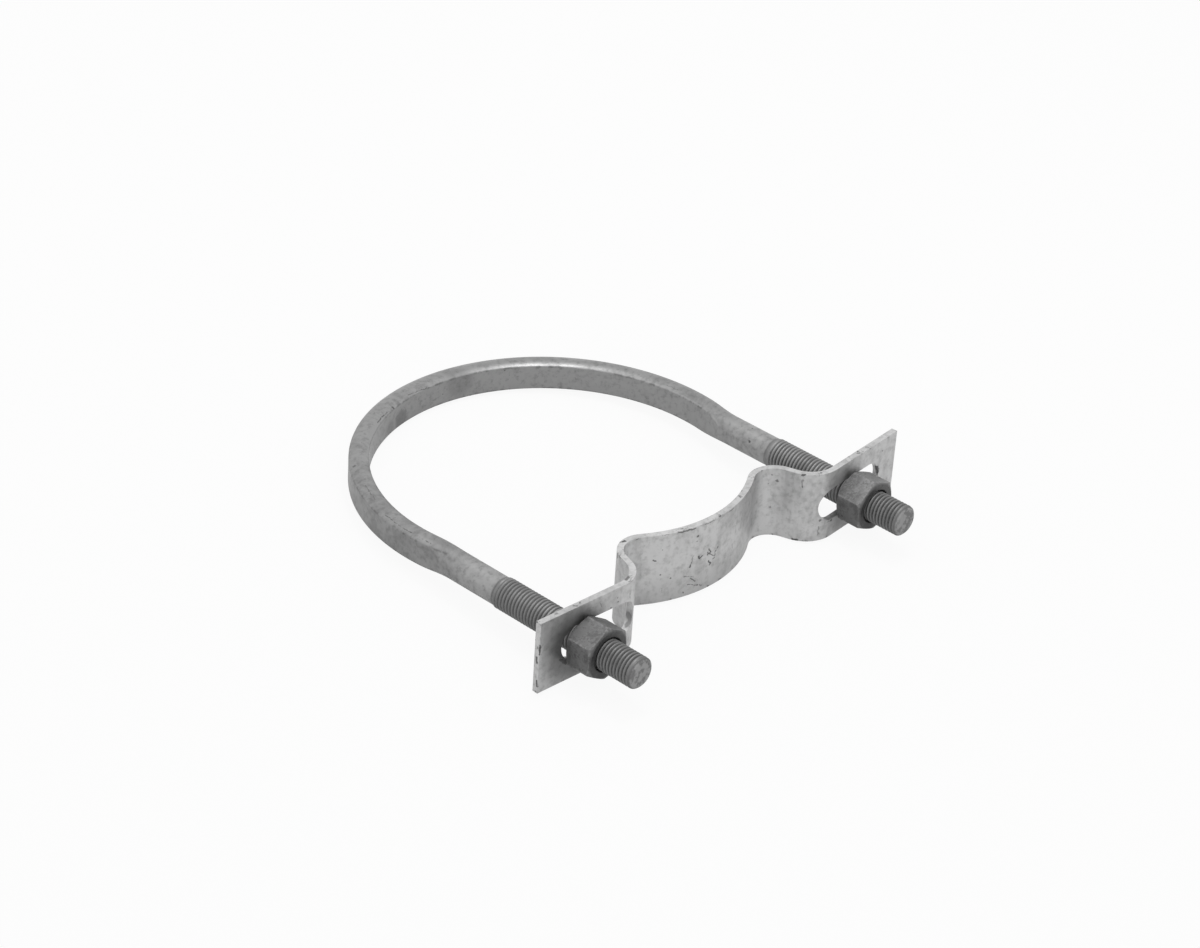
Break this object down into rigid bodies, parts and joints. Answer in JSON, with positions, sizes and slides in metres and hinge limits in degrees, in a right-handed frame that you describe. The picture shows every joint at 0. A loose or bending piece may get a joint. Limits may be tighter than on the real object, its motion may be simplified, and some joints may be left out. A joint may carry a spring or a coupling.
{
  "type": "post clamp",
  "caption": "Round clamp for a road sign post: a bent rod with pressed flats and threaded legs, a folded strap with a saddle and long slots, and hexagon nuts.",
  "frame": {"origin": "centre of the ring on the post axis, half way up the rod", "axes": "+Z along the post, +Y from the post axis to the crown of the ring, +X across the legs; the threaded ends point to -Y"},
  "size_m": [0.2506, 0.2461, 0.0375],
  "materials": {
    "galvanised_rod": "dull zinc coat with mottled patches",
    "galvanised_strap": "bright zinc coat with fine specks and scratches",
    "dull_nut": "dark dull zinc coat"
  },
  "bodies": {
    "u_bolt": {"u_bolt": "galvanised_rod"},
    "strap": {"saddle_strap": "galvanised_strap"},
    "left_nut": {"left_nut": "dull_nut"},
    "right_nut": {"right_nut": "dull_nut"}
  },
  "joints": [
    {"name": "left_nut_turn", "type": "hinge", "parent": "strap", "child": "left_nut", "pos_m": [-0.094, -0.1173, 0], "axis": [0, 1, 0], "range_deg": [-3240, 8640]},
    {"name": "right_nut_turn", "type": "hinge", "parent": "strap", "child": "right_nut", "pos_m": [0.094, -0.1156, 0], "axis": [0, 1, 0], "range_deg": [-3240, 8640]},
    {"name": "strap_slide", "type": "slide", "parent": "u_bolt", "child": "strap", "axis": [0, 1, 0], "range_m": [-0.018, 0.048]}
  ],
  "couplings": [
    {"joint": "left_nut_turn", "follows": "strap_slide", "rad_per_m": 3141.6},
    {"joint": "right_nut_turn", "follows": "strap_slide", "rad_per_m": 3141.6}
  ]
}
